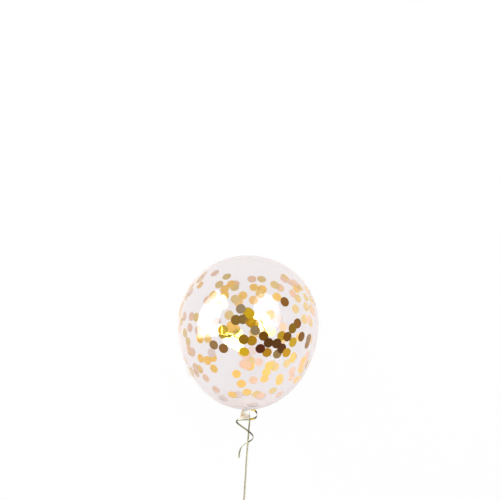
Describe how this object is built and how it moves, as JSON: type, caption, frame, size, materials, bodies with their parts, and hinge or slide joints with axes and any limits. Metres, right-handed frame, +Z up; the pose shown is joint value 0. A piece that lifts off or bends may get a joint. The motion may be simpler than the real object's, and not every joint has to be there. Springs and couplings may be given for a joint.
{
  "type": "confetti balloon",
  "caption": "Clear latex party balloon lying on its side, with gold foil confetti sealed inside, tied at the neck with gold curling ribbon that ends in a hand loop.",
  "frame": {"origin": "on the floor below the middle of the balloon's box, which is inside the flat spot that the balloon rests on", "axes": "+Z up, +Y towards the crown, -Y towards the neck and the ribbon, +X to the neck's right seen from above"},
  "size_m": [0.3, 0.6204, 0.2998],
  "materials": {
    "latex": "thin clear latex film, glossy and slightly milky",
    "ribbon": "metallised gold curling ribbon",
    "confetti": "mirror-bright gold foil"
  },
  "bodies": {
    "root": {"balloon": "latex", "ribbon_tie": "ribbon", "ribbon_tail": "ribbon", "ribbon_curl": "ribbon", "ribbon_hand_loop": "ribbon"}
  },
  "joints": []
}
